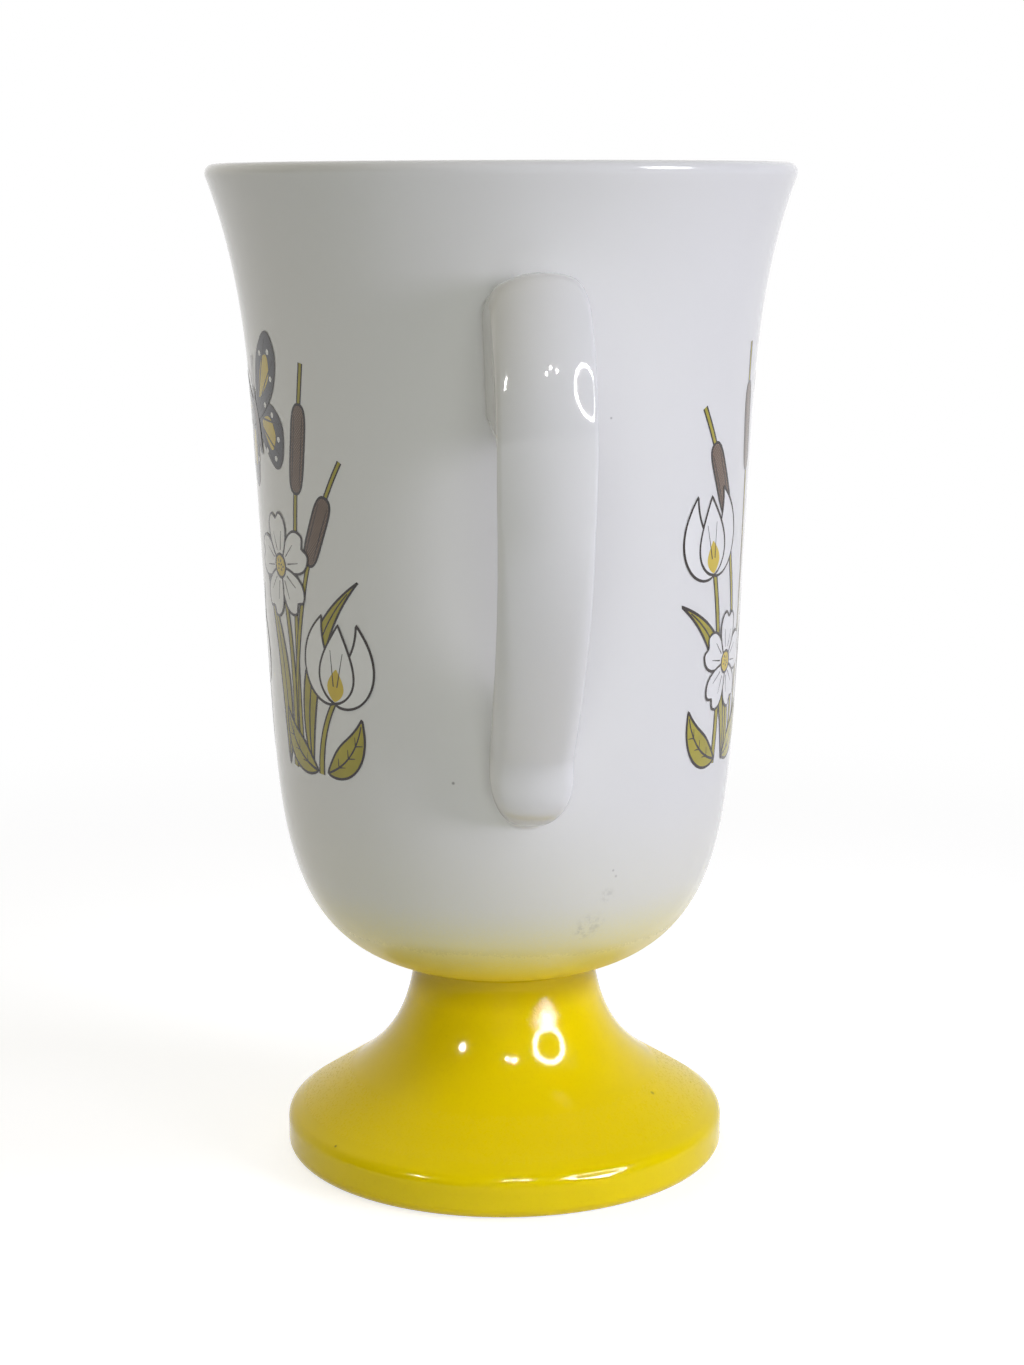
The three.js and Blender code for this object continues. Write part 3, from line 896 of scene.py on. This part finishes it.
class Picture:
    """Flat shapes: each is its points, its faces, its ink and its level. Dark lines share one level over
    each coloured shape."""

    def __init__(self):
        self.shapes = []
        self.level = 0

    def add(self, points, faces, ink):
        if ink != DARK:
            self.level += 2
        self.shapes.append((points, faces, ink, self.level + (1 if ink == DARK else 0)))

    def fill(self, outline, ink):
        edge = respaced(outline, True)
        low = [min(p[k] for p in edge) for k in (0, 1)]
        high = [max(p[k] for p in edge) for k in (0, 1)]
        grid = [
            (low[0] + (i + 0.5 * (j % 2)) * FILL_STEP, low[1] + j * FILL_STEP)
            for i in range(1 + int((high[0] - low[0]) / FILL_STEP))
            for j in range(1 + int((high[1] - low[1]) / FILL_STEP))
        ]
        inner = [p for p in grid if min(dist(p, q) for q in edge) > 0.4 * FILL_STEP]
        corners = [Vector(p) for p in edge + inner]
        points, _, faces, _, _, _ = delaunay_2d_cdt(corners, [], [list(range(len(edge)))], 1, 1e-6)
        self.add([tuple(p) for p in points], [tuple(f) for f in faces], ink)

    def line(self, path, ink, widths, closed=False):
        """A pen stroke whose width runs through the given widths, a little broader on one slant."""
        path = respaced(path, closed)
        count = len(path)
        points = []
        ends = (path[-1], path[0]) if closed else (path[0], path[-1])
        for i, (before, p, after) in enumerate(zip([ends[0]] + path, path, path[1:] + [ends[1]])):
            way = atan2(after[1] - before[1], after[0] - before[0])
            place = i / max(count - 1, 1) * (len(widths) - 1)
            k = min(int(place), len(widths) - 2) if len(widths) > 1 else 0
            width = mixed(widths[k], widths[min(k + 1, len(widths) - 1)], place - k)
            half = width / 2 * (0.85 + 0.3 * abs(sin(way - PEN_SLANT)))
            points.append((p[0] - half * sin(way), p[1] + half * cos(way)))
            points.append((p[0] + half * sin(way), p[1] - half * cos(way)))
        pairs = [(2 * i, 2 * ((i + 1) % count)) for i in range(count if closed else count - 1)]
        self.add(points, [(i + 1, n + 1, n, i) for i, n in pairs], ink)

    def shape(self, outline, ink):
        self.fill(outline, ink)
        self.line(outline, DARK, [PEN], True)


def bent(base, tip, bend, t):
    """A point on the bowed line from base to tip; bend is how far its middle is pushed to the right."""
    return beside(between((base, tip), t)[0], base, tip, 4 * t * (1 - t) * bend)


def leaf_outline(base, tip, bend, width, belly=0.8, count=36):
    right, left = [], []
    for t in steps(0, 1, count):
        a, b = bent(base, tip, bend, max(t - 0.01, 0)), bent(base, tip, bend, min(t + 0.01, 1))
        half = width / 2 * sin(pi * t ** belly)
        centre = bent(base, tip, bend, t)
        right.append(beside(centre, a, b, half))
        left.append(beside(centre, a, b, -half))
    return right + left[::-1][1:-1]


def add_leaf(art, base, tip, bend, width, veins=0):
    art.shape(leaf_outline(base, tip, bend, width), OLIVE)
    rib = [bent(base, tip, bend, t) for t in steps(0, 0.92, 24)]
    art.line(rib, DARK, [PEN, FINE_PEN])
    for i in range(veins):
        start = bent(base, tip, bend, (i + 1) / (veins + 1.6))
        for turn in (0.75, -0.75):
            way = atan2(tip[1] - base[1], tip[0] - base[0]) + turn
            art.line([start, pulled(start, way, 0.3 * width)], DARK, [FINE_PEN, PEN_END])


def add_stem(art, base, tip, bend, width=STEM):
    path = [bent(base, tip, bend, t) for t in steps(0, 1, 30)]
    art.line(path, DARK, [width + 0.5, width + 0.3])
    art.line(path, OLIVE, [width, 0.7 * width])


def add_cattail(art, base, top, bend, head):
    add_stem(art, base, top, bend, CATTAIL_STEM)
    length = dist(base, top)
    a, b = [bent(base, top, bend, 1 - below / length) for below in (head + CATTAIL_TOP, CATTAIL_TOP)]
    way = atan2(b[1] - a[1], b[0] - a[0])
    half = dist(a, b) / 2
    outline = []
    for turn in turns(60):
        x = half * copysign(abs(cos(turn)) ** 0.45, cos(turn))
        y = CATTAIL_WIDTH / 2 * copysign(abs(sin(turn)) ** 0.8, sin(turn))
        outline.append((x, y))
    middle = ((a[0] + b[0]) / 2, (a[1] + b[1]) / 2)
    art.shape(moved(outline, middle, way), BROWN)
    for side in (-0.28, 0.3):
        shade = [(x * half, side * CATTAIL_WIDTH) for x in steps(-0.8, 0.75, 8)]
        art.line(moved(shade, middle, way), DARK, [PEN_END, FINE_PEN, PEN_END])


def petal_outline(length, width, notch, count=44):
    outline = []
    for turn in turns(count):
        x = (1 - cos(turn)) / 2
        y = sin(turn) * x ** 0.5
        dent = notch * exp(-(y / 0.22) ** 2) * x ** 8
        outline.append((length * (x - dent), width / 2 * y))
    return outline


def add_flower(art, centre, radius, turn):
    """Five broad notched petals round a yellow middle."""
    for k in (0, 2, 4, 1, 3):
        way = turn + 2 * pi * k / 5
        size = radius * (1 + 0.06 * sin(3 * k + turn))
        art.shape(moved(petal_outline(size, 0.95 * size, 0.14), centre, way), PALE)
        for side in (-0.18, 0.16):
            crease = [(0.28 * size, 0.4 * side * size), (0.62 * size, side * size)]
            art.line(moved(crease, centre, way), DARK, [FINE_PEN, PEN_END])
    art.shape(circle(0.21 * radius, 24, centre), SUN)
    for k in range(7):
        a = turn + 2.4 * k
        spot = 0.035 * radius * sqrt(k + 0.5)
        tick = [(spot, 0), (spot + 0.05 * radius, 0)]
        art.line(moved(tick, centre, a), DARK, [0.26, FINE_PEN])


def add_tulip(art, foot, height, width, lean):
    for mirror in (-1, 1):
        side = leaf_outline((0, 0), (0.3 * width, height), 0.24 * width, 0.52 * width, 0.72)
        art.shape(moved(side, foot, lean, mirror), PALE)
    front = leaf_outline((0, 0), (0, 0.94 * height), 0, 0.62 * width, 0.66)
    art.shape(moved(front, foot, lean), PALE)
    glow = leaf_outline((0, 0.02 * height), (0, 0.42 * height), 0, 0.3 * width)
    art.fill(moved(glow, foot, lean), SUN)
    for x in (-0.12, 0.1):
        crease = [(0.3 * x * width, 0.2 * height), (x * width, 0.62 * height)]
        art.line(moved(crease, foot, lean), DARK, [FINE_PEN, PEN_END])


UPPER_WING = ((0.4, 1.2), (4.6, 7.4), (9.8, 9.6), (10.6, 6.0), (7.6, 2.0), (2.8, 0.2))
LOWER_WING = ((0.6, 0.2), (5.6, 0.9), (8.2, -2.6), (6.6, -6.8), (4.2, -7.4), (1.4, -3.0))
UPPER_PATCH = ((2.8, 2.6), (6.4, 6.6), (8.6, 6.6), (7.2, 3.6))
LOWER_PATCH = ((2.4, -0.8), (5.2, -0.8), (6.0, -3.6), (4.0, -5.0))


def add_butterfly(art, centre, turn):
    for mirror in (-1, 1):
        for wing, patch in ((LOWER_WING, LOWER_PATCH), (UPPER_WING, UPPER_PATCH)):
            art.shape(moved(curve(wing, True), centre, turn, mirror), CHARCOAL)
            art.fill(moved(curve(patch, True), centre, turn, mirror), SUN)
            root = (0.6, 0.6)
            for corner in wing[1:5]:
                rib = [root, (0.93 * corner[0], 0.93 * corner[1])]
                art.line(moved(rib, centre, turn, mirror), DARK, [PEN, FINE_PEN])
            for a, b in zip(wing[1:], wing[2:]):
                spot = (0.45 * (a[0] + b[0]), 0.45 * (a[1] + b[1]))
                art.fill(moved(circle(WING_SPOT, 12, spot), centre, turn, mirror), PALE)
        feeler = curve(((0.2, 4.2), (1.0, 6.4), (2.6, 8.4)))
        art.line(moved(feeler, centre, turn, mirror), DARK, [FINE_PEN, FINE_PEN, PEN])
    art.shape(moved(leaf_outline((0, -4.6), (0, 4.6), 0, 1.7, 1.0), centre, turn), BROWN)


# Groups of motifs, each motif with its places and sizes. Each group starts at the lowest level.
MOTIFS = ((
    (add_cattail, (16.5, 0), (21.5, 55), -1.6, 12.0),
    (add_cattail, (15.0, 0), (27.5, 42.5), -3.0, 10.0),
    (add_leaf, (19.0, 0), (29.8, 27), -4.0, 3.2),
    (add_leaf, (12.0, 0), (7.0, 27), 2.6, 3.0),
    (add_stem, (21.0, 0), (24.6, 10.5), -0.8),
    (add_stem, (14.0, 0), (13.2, 27), 1.6),
    (add_leaf, (20.2, 0.4), (12.6, 8.2), -1.8, 4.2, 3),
    (add_leaf, (22.4, 0.4), (29.4, 8.6), 1.6, 4.2, 3),
    (add_tulip, (24.6, 10.2), 11.5, 10.5, -0.12),
    (add_flower, (13.2, 27.5), 7.6, 0.45),
), (
    (add_cattail, (-11.5, 0), (-14.5, 57), 1.8, 12.0),
    (add_cattail, (-13.0, 0), (-27.0, 49), 3.4, 10.5),
    (add_leaf, (-16.5, 0), (-30.0, 23), 4.2, 3.4),
    (add_stem, (-20.0, 0), (-22.6, 27), 1.4),
    (add_stem, (-15.5, 0), (-17.2, 12), 1.0),
    (add_leaf, (-16.4, 0.4), (-9.6, 7.4), 1.6, 4.0, 3),
    (add_leaf, (-19.6, 0.6), (-27.4, 8.4), -1.8, 4.2, 3),
    (add_tulip, (-22.8, 26.4), 11.5, 10.5, 0.14),
    (add_flower, (-17.4, 13.8), 7.2, 0.2),
), (
    (add_leaf, (1.0, 0), (3.6, 24), -2.0, 2.8),
    (add_leaf, (-5.0, 0), (-2.0, 31), -2.4, 3.0),
    (add_stem, (-1.5, 0), (-1.0, 10), 0.6),
    (add_tulip, (-1.0, 9.6), 10.0, 9.0, 0.05),
), (
    (add_butterfly, (7.4, 46.5), 0.32),
))


def draw_picture():
    art = Picture()
    for group in MOTIFS:
        art.level = 0
        for add_motif, *sizes in group:
            add_motif(art, *sizes)
    return art.shapes


def print_mesh(name, shapes, side):
    """The picture laid on the bowl, each shape a hair above the one before."""
    points, normals, faces, inks, places = [], [], [], [], []
    for corners, patches, ink, level in shapes:
        lift = PRINT_LIFT + LAYER_LIFT * level
        first = len(points)
        for across, up in corners:
            turn = side * pi / 2 + across / PRINT_RADIUS
            z = PRINT_BOTTOM_Z + up
            place = around(bowl_radius(z), turn, z)
            normals.append(bowl_normal(place))
            points.append(place + normals[-1] * lift)
            places.append((across, up))
        for patch in patches:
            a, b, c = [corners[k] for k in patch[:3]]
            left = (b[0] - a[0]) * (c[1] - a[1]) - (b[1] - a[1]) * (c[0] - a[0]) > 0
            faces.append(tuple(first + k for k in (patch if left else patch[::-1])))
            inks.append(ink)
    mesh = mesh_of(name, points, faces, inks)
    flat = mesh.uv_layers.new(name="picture")
    for loop in mesh.loops:
        flat.data[loop.index].uv = places[loop.vertex_index]
    mesh.normals_split_custom_set_from_vertices(normals)
    return mesh


picture_shapes = draw_picture()
for name, side in (("print_right", 1), ("print_left", -1)):
    placed(name, print_mesh(name, picture_shapes, side), PRINT_INKS, "white_glaze")


# The photograph's camera: millimetres from the mug's axis and the table, and radians.
IMAGE_HEIGHT = 1365
FOCAL_PIXELS = 2562.8
CAMERA_DISTANCE = 356.78
CAMERA_HEIGHT = 136.27
CAMERA_PITCH = 0.18946
CAMERA_YAW = 0.00354
CAMERA_ROLL = -0.00286
CLIP_START = 0.01
HANDLE_TURN = radians(5.55)


def add_camera():
    turn = Matrix.Rotation(pi / 2 - HANDLE_TURN, 4, "Z")
    matrix = turn.copy()
    for angle, axis in ((-CAMERA_YAW, "Z"), (pi / 2 - CAMERA_PITCH, "X"), (CAMERA_ROLL, "Z")):
        matrix = matrix @ Matrix.Rotation(angle, 4, axis)
    place = turn @ Vector((0, -CAMERA_DISTANCE, CAMERA_HEIGHT)) + Vector((AXIS_X, 0, 0))
    matrix.translation = place * MM
    lens = bpy.data.cameras.new("photo_camera")
    lens.lens = FOCAL_PIXELS * lens.sensor_width / IMAGE_HEIGHT
    lens.clip_start = CLIP_START
    camera = bpy.data.objects.new("photo_camera", lens)
    camera.matrix_world = matrix
    scene.collection.objects.link(camera)
    bpy.context.scene.camera = camera


add_camera()


# Light: soft panels for the shading, small bright lamps for the glints, and a pale room.

def direction(azimuth, elevation):
    """A way from the mug, its azimuth to the right of the camera's and its elevation, in degrees."""
    turn = radians(azimuth) - HANDLE_TURN
    rise = radians(elevation)
    return Vector((cos(turn) * cos(rise), sin(turn) * cos(rise), sin(rise)))


AIM_Z = 70.0


def add_lamp(name, kind, azimuth, elevation, distance, power, colour=(1.0, 1.0, 1.0)):
    lamp = bpy.data.lights.new(name, kind)
    lamp.energy = power
    lamp.color = colour
    item = bpy.data.objects.new(name, lamp)
    aim = Vector((AXIS_X, 0, AIM_Z)) * MM
    item.location = aim + direction(azimuth, elevation) * distance
    item.rotation_euler = (aim - item.location).to_track_quat("-Z", "Y").to_euler()
    item.visible_camera = False
    scene.collection.objects.link(item)
    return item


PANEL_DISTANCE = 0.9
# Name, azimuth, elevation, size in metres, power in watts, colour.
PANELS = (
    ("key_panel", 55, 10, 0.25, 2.85, (0.85, 0.82, 1.0)),
    ("right_panel", 75, 35, 0.25, 2.40, (0.88, 0.91, 1.0)),
    ("front_panel", 0, 9, 0.5, 2.20, (0.96, 1.0, 0.94)),
    ("high_front_panel", 30, 55, 0.8, 0.45, (0.95, 0.95, 1.0)),
    ("high_left_panel", -90, 55, 0.8, 1.75, (1.0, 0.90, 0.77)),
    ("left_panel", -105, 25, 0.8, 0.72, (1.0, 0.95, 0.70)),
    ("back_panel", 180, 30, 0.8, 2.40, (1.0, 1.0, 1.0)),
)
for name, azimuth, elevation, size, power, colour in PANELS:
    panel = add_lamp(name, "AREA", azimuth, elevation, PANEL_DISTANCE, power, colour)
    panel.data.size = size
    panel.visible_glossy = False


def light_only(lamp, state, *pieces):
    """Lets a lamp light only the named pieces (INCLUDE) or all but those (EXCLUDE)."""
    group = bpy.data.collections.new(lamp.name + "_pieces")
    for piece in pieces:
        group.objects.link(bpy.data.objects[piece])
    for member in group.collection_objects:
        member.light_linking.link_state = state
    lamp.light_linking.receiver_collection = group


BOWL_PIECES = ("bowl_glazed", "print_right", "print_left")
FOOT_PIECES = ("foot_glazed", "foot_joint_bead")
DISK_DISTANCE = 0.62
SMALL_LAMP_DISTANCE = 0.7
SMALL_LAMP_COLOUR = (1.0, 0.98, 0.95)
RING_PLACE = (51, 27)


def add_disk_lamp(name, azimuth, elevation, power, size):
    disk = add_lamp(name, "AREA", azimuth, elevation, DISK_DISTANCE, power)
    disk.data.shape = "DISK"
    disk.data.size = size
    disk.visible_diffuse = False
    return disk


def add_ring_lamp(name, power, size, share):
    """A round lamp that is bright only beyond a share of its radius."""
    lamp = add_disk_lamp(name, *RING_PLACE, power, size)
    nodes = Nodes(lamp.data)
    middle = nodes.away((0.5, 0.5, 0), nodes.add("NewGeometry").outputs["Parametric"])
    ring = nodes.math("GREATER_THAN", middle, 0.5 * share)
    nodes.put(nodes.tree.nodes["Emission"].inputs["Strength"], nodes.times(ring, 1 / (1 - share ** 2)))
    return lamp


handle_ring_lamp = add_ring_lamp("handle_ring_lamp", 4.5, 0.332, 0.87)
light_only(handle_ring_lamp, "EXCLUDE", *BOWL_PIECES, *FOOT_PIECES)
light_only(add_ring_lamp("foot_ring_lamp", 14.0, 0.364, 0.76), "INCLUDE", "foot_glazed")
light_only(add_disk_lamp("patch_lamp", 50, 7, 5.0, 0.11), "INCLUDE", "foot_glazed")
light_only(add_disk_lamp("rim_lamp", 67, 30, 2.0, 0.22), "INCLUDE", *BOWL_PIECES)
# Azimuth, elevation, radius in metres, power in watts, and whether it lights the foot, else the handle.
SMALL_LAMPS = (
    (2.6, 41.4, 0.011, 0.7, False), (9.0, 44.6, 0.011, 0.75, False), (16.6, 42.2, 0.011, 0.7, False),
    (2.6, 41.4, 0.018, 5.0, True), (12.0, 43.5, 0.020, 8.0, True), (-48, 29, 0.026, 16.0, True),
)


def add_small_lamp(name, kind, azimuth, elevation, power, on_foot):
    lamp = add_lamp(name, kind, azimuth, elevation, SMALL_LAMP_DISTANCE, power, SMALL_LAMP_COLOUR)
    lamp.visible_diffuse = False
    if on_foot:
        light_only(lamp, "INCLUDE", "foot_glazed")
    else:
        light_only(lamp, "EXCLUDE", *FOOT_PIECES, *BOWL_PIECES)
    return lamp.data


for index, (azimuth, elevation, radius, power, on_foot) in enumerate(SMALL_LAMPS):
    small_lamp = add_small_lamp("small_lamp_%d" % index, "POINT", azimuth, elevation, power, on_foot)
    small_lamp.shadow_soft_size = radius
slit_lamp = add_small_lamp("slit_lamp", "AREA", -51, 32, 0.7, False)
slit_lamp.shape = "RECTANGLE"
slit_lamp.size = 0.022
slit_lamp.size_y = 0.07

ROOM_LIGHT = (0.02, 0.02, 0.018, 1)
FRONT_SHADE = 0.1


def add_world():
    """White where the camera sees it; reflections darken towards the photograph's side."""
    world = bpy.data.worlds.new("pale_room")
    scene.world = world
    nodes = Nodes(world)
    ways = nodes.add("SeparateXYZ", nodes.add("TexCoord").outputs["Generated"])
    front = nodes.ranged(ways.outputs["X"], -0.75, 0.1, 1.0, FRONT_SHADE)
    camera_ray = nodes.add("LightPath").outputs["Is Camera Ray"]
    pale = nodes.math("MAXIMUM", camera_ray, front)
    background = nodes.tree.nodes["Background"]
    nodes.put(background.inputs["Color"], nodes.mix(nodes.seen_directly(), ROOM_LIGHT, pale))
    background.inputs["Strength"].default_value = 1.0


add_world()

FLOOR_SIZE = 3.0
# Distances in metres over which the floor dims, and over which it fades to white.
FLOOR_DIMS = (0.07, 0.30)
FLOOR_FADES = (0.10, 0.30)
FLOOR_PALE = (0.57, 0.57, 0.57, 1)
FLOOR_DIM = (0.3, 0.3, 0.3, 1)
FLOOR_LIFT = 0.70
PURE_WHITE = (1, 1, 1, 1)


def add_floor():
    """A pale floor that keeps the mug's shadow and fades to white away from it."""
    nodes = material_nodes("pale_floor")
    corners = [(x * FLOOR_SIZE, y * FLOOR_SIZE, 0) for x, y in ((-1, -1), (1, -1), (1, 1), (-1, 1))]
    mesh = bpy.data.meshes.new("floor")
    mesh.from_pydata(corners, [], [(0, 1, 2, 3)])
    link("floor", mesh, [nodes.owner])
    away = nodes.away((0, 0, 0))
    pale = nodes.mix(nodes.ranged(away, *FLOOR_DIMS), FLOOR_PALE, FLOOR_DIM)
    nodes.finish(Base_Color=pale, Roughness=0.9)
    shade = nodes.tree.nodes["Principled BSDF"].outputs[0]
    lift = nodes.add("Emission", PURE_WHITE, FLOOR_LIFT).outputs[0]
    lifted = nodes.add("AddShader", shade, lift).outputs[0]
    white = nodes.add("Emission", PURE_WHITE, 1.0).outputs[0]
    faded = nodes.add("MixShader", nodes.ranged(away, *FLOOR_FADES), lifted, white).outputs[0]
    seen = nodes.add("MixShader", nodes.seen_directly(), shade, faded).outputs[0]
    nodes.put(nodes.tree.nodes["Material Output"].inputs["Surface"], seen)


add_floor()

bpy.context.scene.view_settings.view_transform = "Standard"
